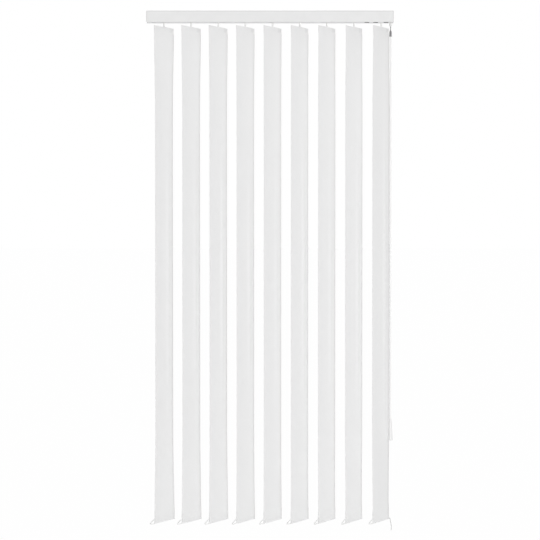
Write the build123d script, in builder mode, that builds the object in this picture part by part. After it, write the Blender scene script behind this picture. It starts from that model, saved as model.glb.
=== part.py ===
from build123d import *
import os
from math import cos, pi, radians, sin, tan

# A vertical blind. Cloth vanes hang under a ceiling rail, turn on a geared rod and draw to one side.
# Lengths are in millimetres and angles in degrees.
# The origin is the middle of the rail's top face, which lies on the ceiling.
# +X runs along the rail towards the wand, -Y faces the room and +Z is up.

# Clearances shared by all pieces
overrun = 1.0  # how far a cut runs past the face that it opens
running_gap = 0.08  # radial play of a shaft in its bore
moving_gap = 0.3  # between faces that pass each other
seat_gap = 0.1  # between pieces that are pushed together
pocket_gap = 0.6  # round a gear in its pocket

# Layout along the rail
vane_count = 9
vane_pitch = 132.0
last_vane_x = 541.0
wand_reach = 45.0  # from the last vane's stem to the wand
vane_angle = 55.0  # a vane's turn out of the rail's own line

# Head rail, an extruded section
rail_length = 1190.0
rail_depth = 46.0
rail_height = 55.5
rail_wall = 1.6
rail_corner = 2.0
slot_width = 12.0
slot_lip = 1.2
guard_depth = 3.5
clip_opening = 20.0
clip_channel = 4.4

# End caps
cap_plate = 5.0
cap_edge = 0.8
tongue_length = 12.0
tongue_wall = 2.0
tongue_height = 22.0
bearing_floor = 1.6

# Mounting clips, bent from sheet
clip_spacing = 800.0
clip_length = 34.0
clip_sheet = 1.2
clip_foot = 3.2
clip_hole_diameter = 5.2

# Pads under the rail
pad_places = [470.0, 512.0, 563.0]  # along the rail
pad_length = 22.0
pad_width = 12.0
pad_thickness = 1.5
pad_corner = 2.0
pad_side = 14.5  # in front of the stems

# Tilt rod and gears
rod_diameter = 5.0
flute_count = 3
flute_radius = 0.6
gear_height = 16.4  # above the floor of the rail's chamber
gear_teeth = 10
gear_pitch_radius = 4.5
worm_pitch_radius = 4.5
worm_turns = 4
tooth_outside = 0.7  # beyond the pitch circle
tooth_inside = 0.95  # within the pitch circle
tooth_crest_share = 0.26
tooth_base_share = 0.52
wheel_face = 5.0
drive_face = 6.0
drive_helix = 45.0

# Carriers
carrier_length = 24.0
carrier_depth = 33.0
carrier_height = 24.4
carrier_lift = 2.0  # above the floor of the rail's chamber
carrier_edge = 1.0
lead_overhang = 7.5  # the last carrier's end past the wand
roller_radius = 4.0
roller_width = 4.0
roller_place = 7.5
lead_roller_place = 33.0
axle_radius = 1.5

# Spacer links on the carriers
link_width = 6.0
link_thickness = 0.5
link_step = 1.0
link_rise = 2.5  # of the lowest link above the carriers
link_side = 6.0  # in front of the stems
post_length = 4.5
catch_length = 5.0
catch_width = 3.0
catch_side = 12.75  # in front of the stems
hook_end = 3.0

# Vanes, with their pockets and hanger cards
vane_width = 150.0
vane_length = 2410.5
vane_drop = 75.5  # from the ceiling to the vane's top edge
cloth = 0.6
top_hem = 38.0
bottom_hem = 68.0
hem_seam = 6.0
hem_taper = 4.0
card_thickness = 1.0
card_height = 30.0
card_inset = 2.0
fold_share = 0.9

# Stems that the vanes hang on
stem_diameter = 8.0
hub_height = 3.3
shoulder_height = 1.5
stem_cap = 2.5
shaft_gap = 2.0  # above the vane's top edge
prong_root = 6.0  # how far the prong runs up the shaft
prong_width = 7.0
prong_thickness = 1.8
prong_corner = 1.5
prong_reach = 8.0  # below the pin
pin_radius = 1.5
pin_drop = 10.0  # below the vane's top edge

# Vane weights, with their chain loops
weight_length = 144.0
weight_height = 58.0
weight_thickness = 2.6
weight_corner = 4.0
loop_root_radius = 11.0  # the wide end, on the weight
loop_root_offset = 9.0  # from the weight's end to the middle of the wide end
loop_root_rise = 11.5  # above the vane's bottom edge
loop_tip_radius = 4.5
loop_tip_rise = 6.0  # above the vane's bottom edge
loop_reach = 39.0  # past the weight's end
loop_bar = 3.2
lug_reach = 6.0
lug_height = 6.0
lug_rise = 3.7  # above the vane's bottom edge

# Chain tail on the last vane: its diameter, and its route outwards and upwards from the weight's lug
tail_diameter = 4.5
tail_bend_share = 0.45
tail_route = [(0, 0), (4.4, 0), (8.4, -1.6), (11.5, -4.8), (13.2, -8.9), (17.5, -20)]
tail_route += [(21.5, -31), (24.8, -41.5), (25.3, -50), (24, -57), (22.3, -62)]

# Wand
cup_radius = 7.5
cup_height = 13.5
cup_gap = 1.5  # below the rail
cup_edge = 1.5
eye_width = 8.0
eye_thickness = 5.0
eye_drop = 20.5  # from the rail to the hook's pivot
wire_radius = 1.5
wire_bend = 3.0
hook_back = 5.5
hook_front = 6.5
hook_shank = 6.0
hook_neck = 15.0  # from the pivot to where the wire is under the eye
hook_tang = 23.0  # from the pivot to the wire's lower end
ferrule_top = 17.0  # from the pivot
ferrule_length = 30.0
ferrule_neck_radius = 3.2
ferrule_radius = 5.8
ferrule_foot_radius = 5.4
ferrule_shoulder = 9.0
ferrule_hem = 3.0
rod_socket = 14.0
wand_radius = 4.4
wand_length = 1893.0
wand_edge = 0.6
grip_length = 106.0
grip_top_radius = 6.6
grip_foot_radius = 12.8
grip_edge = 1.6
grip_socket = 20.0

# Heights worked out from the sizes above
channel_floor = -rail_wall - clip_channel
chamber_top = channel_floor - rail_wall
chamber_floor = rail_wall - rail_height
inner_depth = rail_depth - 2 * rail_wall
gear_z = chamber_floor + gear_height
carrier_bottom = chamber_floor + carrier_lift
carrier_top = carrier_bottom + carrier_height
roller_z = chamber_floor + seat_gap + roller_radius
stem_seat = gear_z - wheel_face / 2 - hub_height - moving_gap
vane_top = -vane_drop
vane_bottom = vane_top - vane_length
pin_z = vane_top - pin_drop
eye_z = -rail_height - eye_drop

# Gears worked out from the sizes above
rod_y = gear_pitch_radius + worm_pitch_radius
gear_tip = gear_pitch_radius + tooth_outside
gear_root = gear_pitch_radius - tooth_inside
gear_pitch = 2 * pi * gear_pitch_radius / gear_teeth
worm_tip = worm_pitch_radius + tooth_outside
worm_root = worm_pitch_radius - tooth_inside
worm_length = worm_turns * gear_pitch
gear_pocket = gear_tip + pocket_gap
worm_pocket = worm_tip + pocket_gap
stem_radius = stem_diameter / 2
stem_bore = stem_radius + running_gap
rod_radius = rod_diameter / 2
rod_way = rod_radius + pocket_gap

# Hems worked out from the sizes above
card_pocket = card_thickness + 2 * seat_gap
weight_pocket = weight_thickness + 2 * seat_gap
top_hem_half = card_pocket / 2 + cloth
bottom_hem_half = weight_pocket / 2 + cloth
prong_inside = top_hem_half + seat_gap

# Directions along a vane towards the back, and out of its rear face
vane_along = (cos(radians(vane_angle)), sin(radians(vane_angle)), 0)
vane_outwards = (-sin(radians(vane_angle)), cos(radians(vane_angle)), 0)

os.makedirs("parts", exist_ok=True)


def station(number):
    """How far along the rail the numbered vane hangs."""
    return last_vane_x - vane_pitch * (vane_count - number)


def link_level(number):
    """The height of the underside of the numbered carrier's link."""
    return carrier_top + link_rise + link_step * (vane_count - 1 - number)


def along_rail(x, y, z):
    """A plane that faces along the rail, with its own X towards the back and its own Y up."""
    return Plane(origin=(x, y, z), x_dir=(0, 1, 0), z_dir=(1, 0, 0))


def vane_section(x):
    """A plane across a vane, with its own X out of the vane's rear face and its own Y up."""
    return Plane(origin=(x, 0, 0), x_dir=vane_outwards, z_dir=vane_along)


def vane_face(x):
    """A plane in a vane, with its own X along the vane towards the back and its own Y up."""
    return Plane(origin=(x, 0, 0), x_dir=vane_along, z_dir=-Vector(vane_outwards))


def save(piece, name):
    """Name a finished piece and write it."""
    piece.part.label = name
    export_step(piece.part, f"parts/{name}.step")


def toothed_blank(plane, face, twist, first_tooth):
    """A gear with slanted teeth, standing on a plane, with a tooth at an angle in its middle section."""
    base = tooth_base_share * gear_pitch / 2
    crest = tooth_crest_share * gear_pitch / 2
    foot = gear_root - tooth_outside
    with BuildSketch(plane) as section:
        Circle(gear_root)
        with PolarLocations(0, gear_teeth, first_tooth - twist / 2):
            Polygon((foot, -base), (gear_tip, -crest), (gear_tip, crest), (foot, base), align=None)
    return Solid.extrude_linear_with_rotation(
        section.sketch.face(), plane.origin, plane.z_dir * face, twist
    )


def rod_bore(plane, depth):
    """The fluted hole that slides on the tilt rod, as a solid to cut away."""
    with BuildPart() as bore:
        with BuildSketch(plane):
            Circle(rod_radius + running_gap)
            with PolarLocations(rod_radius, flute_count):
                Circle(flute_radius - seat_gap, mode=Mode.SUBTRACT)
        extrude(amount=depth)
    return bore.part


# Head rail: one extruded section with a clip channel on top and a slot below
with BuildPart() as head_rail:
    with BuildSketch(along_rail(-rail_length / 2, 0, -rail_height / 2)) as rail_section:
        RectangleRounded(rail_depth, rail_height, rail_corner)
        with Locations((0, rail_height / 2 - rail_wall - clip_channel / 2)):
            Rectangle(inner_depth, clip_channel, mode=Mode.SUBTRACT)
        with Locations((0, rail_height / 2)):
            Rectangle(clip_opening, 2 * rail_wall, mode=Mode.SUBTRACT)
        with Locations((0, rail_height / 2 + (chamber_top + chamber_floor) / 2)):
            Rectangle(inner_depth, chamber_top - chamber_floor, mode=Mode.SUBTRACT)
        for side in (-1, 1):
            with Locations((side * (slot_width + rail_wall) / 2, chamber_floor + rail_height / 2)):
                Rectangle(rail_wall, 2 * slot_lip)
            guard_z = roller_z + roller_radius + moving_gap + rail_wall / 2
            with Locations((side * (inner_depth - guard_depth) / 2, guard_z + rail_height / 2)):
                Rectangle(guard_depth, rail_wall)
        with Locations((0, -rail_height / 2)):
            Rectangle(slot_width, 2 * (rail_wall + slot_lip), mode=Mode.SUBTRACT)
    extrude(amount=rail_length)
save(head_rail, "head_rail")

# End caps: a plate with two side tongues, one tongue in the clip channel and a bearing for the tilt rod
for name, side in (("end_cap_left", -1), ("end_cap_right", 1)):
    inner_face = side * rail_length / 2
    with BuildPart() as end_cap:
        with BuildSketch(along_rail(inner_face, 0, -rail_height / 2)):
            RectangleRounded(rail_depth, rail_height, rail_corner)
        extrude(amount=side * cap_plate)
        chamfer(end_cap.faces().sort_by(Axis.X)[-1 if side > 0 else 0].edges(), cap_edge)
        with BuildSketch(along_rail(inner_face, 0, 0)):
            with Locations((0, channel_floor + clip_channel / 2)):
                Rectangle(inner_depth - 2 * seat_gap, clip_channel - 2 * seat_gap)
            with Locations((0, chamber_top - seat_gap - tongue_height / 2)):
                with GridLocations(inner_depth - 2 * seat_gap - tongue_wall, 0, 2, 1):
                    Rectangle(tongue_wall, tongue_height)
        extrude(amount=-side * tongue_length)
        with BuildSketch(along_rail(inner_face, rod_y, gear_z)):
            Circle(rod_radius + running_gap)
        extrude(amount=side * (cap_plate - bearing_floor), mode=Mode.SUBTRACT)
    save(end_cap, name)

# Mounting clips: a bent strip whose feet hold the lips of the rail's clip channel from below
clip_half = clip_opening / 2 - seat_gap
foot_top = -rail_wall - seat_gap
with BuildPart() as mounting_clips:
    for side in (-1, 1):
        with BuildSketch(along_rail(side * clip_spacing / 2, 0, 0)):
            with Locations((0, -clip_sheet / 2)):
                Rectangle(2 * clip_half, clip_sheet)
            for way in (-1, 1):
                with Locations((way * (clip_half - clip_sheet / 2), (foot_top - clip_sheet) / 2)):
                    Rectangle(clip_sheet, clip_sheet - foot_top)
                with Locations((way * (clip_half - clip_sheet + clip_foot / 2), foot_top - clip_sheet / 2)):
                    Rectangle(clip_foot + clip_sheet, clip_sheet)
        extrude(amount=clip_length / 2, both=True)
    with GridLocations(clip_spacing, 0, 2, 1):
        Cylinder(clip_hole_diameter / 2, 2 * (clip_sheet + overrun), mode=Mode.SUBTRACT)
save(mounting_clips, "mounting_clips")

# Pads: three flat pads stuck under the front half of the rail, next to the wand
with BuildPart() as rail_pads:
    for place in pad_places:
        with BuildSketch(Plane(origin=(place, -pad_side, -rail_height - seat_gap))):
            RectangleRounded(pad_length, pad_width, pad_corner)
        extrude(amount=-pad_thickness)
save(rail_pads, "rail_pads")

# Tilt rod: fluted, and carried by the two end caps
rod_length = rail_length + 2 * (cap_plate - bearing_floor - moving_gap)
with BuildPart() as tilt_rod:
    with BuildSketch(along_rail(-rod_length / 2, rod_y, gear_z)):
        Circle(rod_radius)
        with PolarLocations(rod_radius, flute_count):
            Circle(flute_radius, mode=Mode.SUBTRACT)
    extrude(amount=rod_length)
save(tilt_rod, "tilt_rod")


def gear_pockets(place, face, floor):
    """Cut the pockets for an upright gear and for its mate on the tilt rod, both open at the top."""
    top = carrier_top + overrun
    with Locations((place, 0, carrier_bottom - overrun)):
        Cylinder(
            stem_bore,
            carrier_height,
            align=(Align.CENTER, Align.CENTER, Align.MIN),
            mode=Mode.SUBTRACT,
        )
    with Locations((place, 0, floor)):
        Cylinder(
            gear_pocket,
            top - floor,
            align=(Align.CENTER, Align.CENTER, Align.MIN),
            mode=Mode.SUBTRACT,
        )
    with Locations((place, rod_y, gear_z)):
        Cylinder(worm_pocket, face + 2 * moving_gap, rotation=(0, 90, 0), mode=Mode.SUBTRACT)
        Box(
            face + 2 * moving_gap,
            2 * worm_pocket,
            top - gear_z,
            align=(Align.CENTER, Align.CENTER, Align.MIN),
            mode=Mode.SUBTRACT,
        )


# Carriers: a block on rollers, with a link that reaches to the next carrier and a catch for the one before
for number in range(1, vane_count + 1):
    last = number == vane_count
    right_end = wand_reach + lead_overhang if last else carrier_length / 2
    block_length = right_end + carrier_length / 2
    middle = (right_end - carrier_length / 2) / 2
    roller_places = [-roller_place, roller_place]
    if last:
        roller_places.append(lead_roller_place)
    with BuildPart(Plane(origin=(station(number), 0, 0))) as carrier:
        with Locations((middle, 0, carrier_bottom)):
            Box(
                block_length,
                carrier_depth,
                carrier_height,
                align=(Align.CENTER, Align.CENTER, Align.MIN),
            )
        chamfer(carrier.edges().filter_by(Axis.Z), carrier_edge)
        gear_pockets(0, worm_length, stem_seat)
        if last:
            gear_pockets(wand_reach, drive_face, gear_z - drive_face / 2 - hub_height - moving_gap)
        with Locations((middle, rod_y, gear_z)):
            Cylinder(rod_way, block_length + overrun, rotation=(0, 90, 0), mode=Mode.SUBTRACT)
            Box(
                block_length + overrun,
                2 * rod_way,
                carrier_top + overrun - gear_z,
                align=(Align.CENTER, Align.CENTER, Align.MIN),
                mode=Mode.SUBTRACT,
            )
        for place in roller_places:
            with Locations((place, 0, roller_z)):
                for side in (-1, 1):
                    axle_start = side * (carrier_depth / 2 - axle_radius)
                    roller_start = side * (carrier_depth / 2 + seat_gap)
                    roller_end = roller_start + side * roller_width
                    with Locations((0, (axle_start + roller_end) / 2, 0)):
                        Cylinder(axle_radius, abs(roller_end - axle_start), rotation=(90, 0, 0))
                    with Locations((0, (roller_start + roller_end) / 2, 0)):
                        Cylinder(roller_radius, roller_width, rotation=(90, 0, 0))
        if not last:
            link_top = link_level(number) + link_thickness
            link_start = carrier_edge - carrier_length / 2
            hook_start = vane_pitch + catch_length / 2 + moving_gap
            link_length = hook_start + hook_end - link_start
            catch_front = catch_side + catch_width / 2
            with Locations((link_start + post_length / 2, -link_side, carrier_top)):
                Box(
                    post_length,
                    link_width,
                    link_top - carrier_top,
                    align=(Align.CENTER, Align.CENTER, Align.MIN),
                )
            link_middle = link_top - link_thickness / 2
            with Locations((link_start + link_length / 2, -link_side, link_middle)):
                Box(link_length, link_width, link_thickness)
            with Locations((hook_start + hook_end / 2, -(catch_front + link_side) / 2, link_middle)):
                Box(hook_end, catch_front - link_side, link_thickness)
        if number > 1:
            catch_height = link_level(number - 1) + link_thickness - carrier_top
            with Locations((0, -catch_side, carrier_top)):
                Box(
                    catch_length,
                    catch_width,
                    catch_height,
                    align=(Align.CENTER, Align.CENTER, Align.MIN),
                )
    save(carrier, f"carrier_{number}")

# Worms: one thread round a sleeve that slides on the tilt rod
worm_plane = along_rail(-worm_length / 2, rod_y, gear_z)
crest_turn = tooth_crest_share * 180
base_turn = tooth_base_share * 180
with BuildSketch(worm_plane) as thread_section:
    with BuildLine():
        crest = CenterArc((0, 0), worm_tip, -crest_turn, 2 * crest_turn)
        foot = CenterArc((0, 0), worm_root - tooth_outside, base_turn, -2 * base_turn)
        Line(crest @ 1, foot @ 0)
        Line(foot @ 1, crest @ 0)
    make_face()
worm_thread = Solid.extrude_linear_with_rotation(
    thread_section.sketch.face(), worm_plane.origin, worm_plane.z_dir * worm_length, 360 * worm_turns
)
worm_bore = rod_bore(worm_plane, worm_length)
with BuildPart() as worm_blank:
    with BuildSketch(worm_plane):
        Circle(worm_root)
    extrude(amount=worm_length)
    add(worm_thread)
    add(worm_bore, mode=Mode.SUBTRACT)
for number in range(1, vane_count + 1):
    with BuildPart(Plane(origin=(station(number), 0, 0))) as worm:
        add(worm_blank.part)
    save(worm, f"worm_{number}")

# Drive gear: slides on the tilt rod with the last carrier and meshes with the wand's stem
drive_twist = drive_face * tan(radians(drive_helix)) / gear_pitch_radius * 180 / pi
drive_plane = along_rail(station(vane_count) + wand_reach - drive_face / 2, rod_y, gear_z)
drive_shape = toothed_blank(drive_plane, drive_face, drive_twist, 180) - rod_bore(drive_plane, drive_face)
with BuildPart() as drive_gear:
    add(drive_shape)
save(drive_gear, "drive_gear")

# Stems: a toothed wheel on a hub, and a shaft that ends in a prong behind the vane with a pin through it
wheel_twist = wheel_face / worm_pitch_radius * gear_pitch / (2 * pi * gear_pitch_radius) * 180 / pi
wheel_plane = Plane(origin=(0, 0, gear_z - wheel_face / 2))
wheel_shape = toothed_blank(wheel_plane, wheel_face, wheel_twist, 90)
shaft_bottom = vane_top + shaft_gap
prong_bottom = pin_z - prong_reach
prong_top = shaft_bottom + prong_root
for number in range(1, vane_count + 1):
    with BuildPart(Plane(origin=(station(number), 0, 0))) as stem:
        add(wheel_shape)
        with Locations((0, 0, gear_z + wheel_face / 2)):
            Cylinder(gear_root, stem_cap, align=(Align.CENTER, Align.CENTER, Align.MIN))
        with Locations((0, 0, stem_seat + moving_gap)):
            Cylinder(gear_root, hub_height, align=(Align.CENTER, Align.CENTER, Align.MIN))
            Cylinder(gear_tip, shoulder_height, align=(Align.CENTER, Align.CENTER, Align.MIN))
            Cylinder(
                stem_radius,
                stem_seat + moving_gap - shaft_bottom,
                align=(Align.CENTER, Align.CENTER, Align.MAX),
            )
        with BuildSketch(vane_face(station(number)).offset(-prong_inside)):
            with Locations((0, (prong_top + prong_bottom) / 2)):
                RectangleRounded(prong_width, prong_top - prong_bottom, prong_corner)
        extrude(amount=-prong_thickness)
        with BuildSketch(vane_face(station(number)).offset(-prong_inside)):
            with Locations((0, pin_z)):
                Circle(pin_radius)
        extrude(amount=2 * prong_inside)
    save(stem, f"stem_{number}")

# Vanes: cloth folded back into a pocket at each end, with a card in the top one
card_middle = vane_top - cloth - seat_gap - card_height / 2
card_pocket_height = top_hem - hem_seam - cloth
weight_pocket_height = bottom_hem - hem_seam - cloth
for number in range(1, vane_count + 1):
    section = vane_section(station(number))
    with BuildPart() as vane:
        with BuildSketch(section):
            with BuildLine():
                Polyline(
                    (0, vane_top),
                    (top_hem_half, vane_top),
                    (top_hem_half, vane_top - top_hem + hem_taper),
                    (cloth / 2, vane_top - top_hem),
                    (cloth / 2, vane_bottom + bottom_hem),
                    (bottom_hem_half, vane_bottom + bottom_hem - hem_taper),
                    (bottom_hem_half, vane_bottom),
                    (0, vane_bottom),
                )
                mirror(about=Plane.YZ)
            make_face()
            with Locations((0, vane_top - cloth - card_pocket_height / 2)):
                Rectangle(card_pocket, card_pocket_height, mode=Mode.SUBTRACT)
            with Locations((0, vane_bottom + cloth + weight_pocket_height / 2)):
                Rectangle(weight_pocket, weight_pocket_height, mode=Mode.SUBTRACT)
        extrude(amount=vane_width / 2, both=True)
        along_vane = Axis((0, 0, 0), section.z_dir)
        folds = vane.edges().filter_by(along_vane)
        fillet(folds.group_by(Axis.Z)[-1], top_hem_half * fold_share)
        fillet(vane.edges().filter_by(along_vane).group_by(Axis.Z)[0], bottom_hem_half * fold_share)
        with BuildSketch(vane_face(station(number))):
            with Locations((0, card_middle)):
                Rectangle(vane_width - 2 * card_inset, card_height)
        extrude(amount=card_thickness / 2, both=True)
        with BuildSketch(vane_face(station(number))):
            with Locations((0, pin_z)):
                Circle(pin_radius + seat_gap)
        extrude(amount=vane_width, both=True, mode=Mode.SUBTRACT)
    save(vane, f"vane_{number}")

# Weights: a flat bar in the bottom pocket, with a drop-shaped chain loop in front and a lug at the back
loop_root = (-weight_length / 2 - loop_root_offset, vane_bottom + loop_root_rise)
loop_tip = (-weight_length / 2 - loop_reach + loop_tip_radius, vane_bottom + loop_tip_rise)
weight_middle = vane_bottom + cloth + seat_gap + weight_height / 2
lug_z = vane_bottom + lug_rise
for number in range(1, vane_count + 1):
    face = vane_face(station(number))
    with BuildPart() as weight:
        with BuildSketch(face):
            with Locations((0, weight_middle)):
                RectangleRounded(weight_length, weight_height, weight_corner)
            with Locations((weight_length / 2, lug_z)):
                Rectangle(2 * lug_reach, lug_height)
        extrude(amount=weight_thickness / 2, both=True)
        for inset, mode in ((0, Mode.ADD), (loop_bar, Mode.SUBTRACT)):
            with BuildSketch(face):
                with Locations(loop_root):
                    Circle(loop_root_radius - inset)
                with Locations(loop_tip):
                    Circle(loop_tip_radius - inset)
                make_hull()
            extrude(amount=weight_thickness / 2, both=True, mode=mode)
    save(weight, f"weight_{number}")

# Chain tail: hangs from the last weight's lug
tail_plane = vane_face(station(vane_count))
lug_end = weight_length / 2 + lug_reach
tail_points = [(lug_end + out, lug_z + up) for out, up in tail_route]
tail_runs = [Vector(after) - Vector(before) for before, after in zip(tail_points, tail_points[1:])]
tail_radii = [
    tail_bend_share * min(before.length, after.length) / tan(radians(before.get_angle(after) / 2))
    for before, after in zip(tail_runs, tail_runs[1:])
]
print("chain tail radii", [round(radius, 1) for radius in tail_radii])
with BuildPart() as chain_tail:
    with BuildLine(tail_plane) as tail_path:
        FilletPolyline(*tail_points, radius=tail_radii)
    with BuildSketch(tail_path.line ^ 0):
        Circle(tail_diameter / 2)
    sweep(path=tail_path.line)
tail_length = tail_path.wire().length
tail_share = chain_tail.part.volume / (pi * (tail_diameter / 2) ** 2 * tail_length)
print("chain tail length", round(tail_length, 1), "volume over section times length", round(tail_share, 4))
save(chain_tail, "chain_tail")

# Wand stem: a slanted-tooth gear on a shaft, with a cup under the rail and an eye for the hook
wand_x = station(vane_count) + wand_reach
wand_gear_plane = Plane(origin=(0, 0, gear_z - drive_face / 2))
wand_gear_shape = toothed_blank(wand_gear_plane, drive_face, drive_twist, 90 + 180 / gear_teeth)
hub_bottom = gear_z - drive_face / 2 - hub_height
cup_top = -rail_height - cup_gap
cup_bottom = cup_top - cup_height
with BuildPart(Plane(origin=(wand_x, 0, 0))) as wand_stem:
    add(wand_gear_shape)
    with Locations((0, 0, hub_bottom)):
        Cylinder(gear_root, hub_height, align=(Align.CENTER, Align.CENTER, Align.MIN))
        Cylinder(gear_tip, shoulder_height, align=(Align.CENTER, Align.CENTER, Align.MIN))
        Cylinder(
            stem_radius,
            hub_bottom - cup_top + cup_edge,
            align=(Align.CENTER, Align.CENTER, Align.MAX),
        )
    with Locations((0, 0, cup_top)):
        Cylinder(cup_radius, cup_height, align=(Align.CENTER, Align.CENTER, Align.MAX))
    chamfer(wand_stem.edges().filter_by(GeomType.CIRCLE).group_by(SortBy.RADIUS)[-1], cup_edge)
    with BuildSketch(Plane(origin=(wand_x, 0, 0), x_dir=(1, 0, 0), z_dir=(0, -1, 0))):
        with Locations((0, eye_z)):
            Circle(eye_width / 2)
        with Locations((0, (eye_z + cup_bottom + cup_edge) / 2)):
            Rectangle(eye_width, cup_bottom + cup_edge - eye_z)
        with Locations((0, eye_z)):
            Circle(wire_radius + running_gap, mode=Mode.SUBTRACT)
    extrude(amount=eye_thickness / 2, both=True)
save(wand_stem, "wand_stem")

# Wand hook: a bent wire through the eye
wand_side = Plane(origin=(wand_x, 0, eye_z), x_dir=(0, 1, 0), z_dir=(1, 0, 0))
with BuildPart() as wand_hook:
    with BuildLine(wand_side) as hook_path:
        FilletPolyline(
            (hook_back, 0),
            (-hook_front, 0),
            (-hook_front, -hook_shank),
            (0, -hook_neck),
            (0, -hook_tang),
            radius=wire_bend,
        )
    with BuildSketch(hook_path.line ^ 0):
        Circle(wire_radius)
    sweep(path=hook_path.line)
save(wand_hook, "wand_hook")

# Wand ferrule: a tapered cup that holds the hook's wire above and the rod below
ferrule_z = eye_z - ferrule_top
ferrule_bottom = ferrule_z - ferrule_length
rod_top = ferrule_bottom + rod_socket
with BuildPart() as wand_ferrule:
    with BuildSketch(Plane(origin=(wand_x, 0, 0), x_dir=(1, 0, 0), z_dir=(0, -1, 0))):
        with BuildLine():
            Polyline(
                (0, ferrule_z),
                (ferrule_neck_radius, ferrule_z),
                (ferrule_radius, ferrule_z - ferrule_shoulder),
                (ferrule_radius, ferrule_bottom + ferrule_hem),
                (ferrule_foot_radius, ferrule_bottom),
                (0, ferrule_bottom),
                close=True,
            )
        make_face()
    revolve(axis=Axis((wand_x, 0, 0), (0, 0, 1)))
    with Locations((wand_x, 0, eye_z - hook_tang - seat_gap)):
        Cylinder(
            wire_radius + seat_gap,
            hook_tang,
            align=(Align.CENTER, Align.CENTER, Align.MIN),
            mode=Mode.SUBTRACT,
        )
    with Locations((wand_x, 0, rod_top + seat_gap)):
        Cylinder(
            wand_radius + seat_gap,
            rod_socket + overrun,
            align=(Align.CENTER, Align.CENTER, Align.MAX),
            mode=Mode.SUBTRACT,
        )
save(wand_ferrule, "wand_ferrule")

# Wand rod
with BuildPart(Plane(origin=(wand_x, 0, rod_top))) as wand_rod:
    Cylinder(wand_radius, wand_length, align=(Align.CENTER, Align.CENTER, Align.MAX))
    chamfer(wand_rod.edges().filter_by(GeomType.CIRCLE), wand_edge)
save(wand_rod, "wand_rod")

# Wand grip: a flared handle with a socket for the rod
grip_top = rod_top - wand_length + grip_socket
with BuildPart(Plane(origin=(wand_x, 0, grip_top))) as wand_grip:
    Cone(grip_foot_radius, grip_top_radius, grip_length, align=(Align.CENTER, Align.CENTER, Align.MAX))
    fillet(wand_grip.edges().filter_by(GeomType.CIRCLE), grip_edge)
    Cylinder(
        wand_radius + seat_gap,
        grip_socket + seat_gap,
        align=(Align.CENTER, Align.CENTER, Align.MAX),
        mode=Mode.SUBTRACT,
    )
save(wand_grip, "wand_grip")
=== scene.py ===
from math import cos, exp, pi, radians, sin

import bmesh
import bpy
from bpy.props import FloatProperty, FloatVectorProperty, IntProperty, PointerProperty
from mathutils import Matrix, Vector


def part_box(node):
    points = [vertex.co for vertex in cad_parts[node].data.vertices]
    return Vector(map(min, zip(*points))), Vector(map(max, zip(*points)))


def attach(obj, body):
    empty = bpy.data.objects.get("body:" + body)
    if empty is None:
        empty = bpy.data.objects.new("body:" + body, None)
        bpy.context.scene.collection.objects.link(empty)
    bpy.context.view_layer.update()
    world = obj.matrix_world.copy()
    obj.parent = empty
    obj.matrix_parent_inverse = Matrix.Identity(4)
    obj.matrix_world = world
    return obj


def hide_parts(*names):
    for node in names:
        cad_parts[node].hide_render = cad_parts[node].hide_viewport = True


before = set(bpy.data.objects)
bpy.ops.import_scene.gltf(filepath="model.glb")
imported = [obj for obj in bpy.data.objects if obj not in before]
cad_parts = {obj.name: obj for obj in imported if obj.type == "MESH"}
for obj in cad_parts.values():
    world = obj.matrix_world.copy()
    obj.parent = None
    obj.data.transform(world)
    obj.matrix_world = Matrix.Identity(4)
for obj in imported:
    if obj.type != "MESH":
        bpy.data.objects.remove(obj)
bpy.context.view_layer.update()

bl_info = {
    "name": "Vertical blind",
    "version": (1, 0, 0),
    "blender": (4, 5, 0),
    "location": "View3D > Sidebar > Blind",
    "description": "Dresses a vertical blind: cloth vanes, seams, chain tail, finishes and a studio",
    "category": "Object",
}

vane_total = sum(name.startswith("vane_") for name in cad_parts)
vane_numbers = range(1, vane_total + 1)

# The stretch of a noise's values that is spread over a whole range of tone or roughness
noise_low, noise_high = 0.3, 0.7


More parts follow.
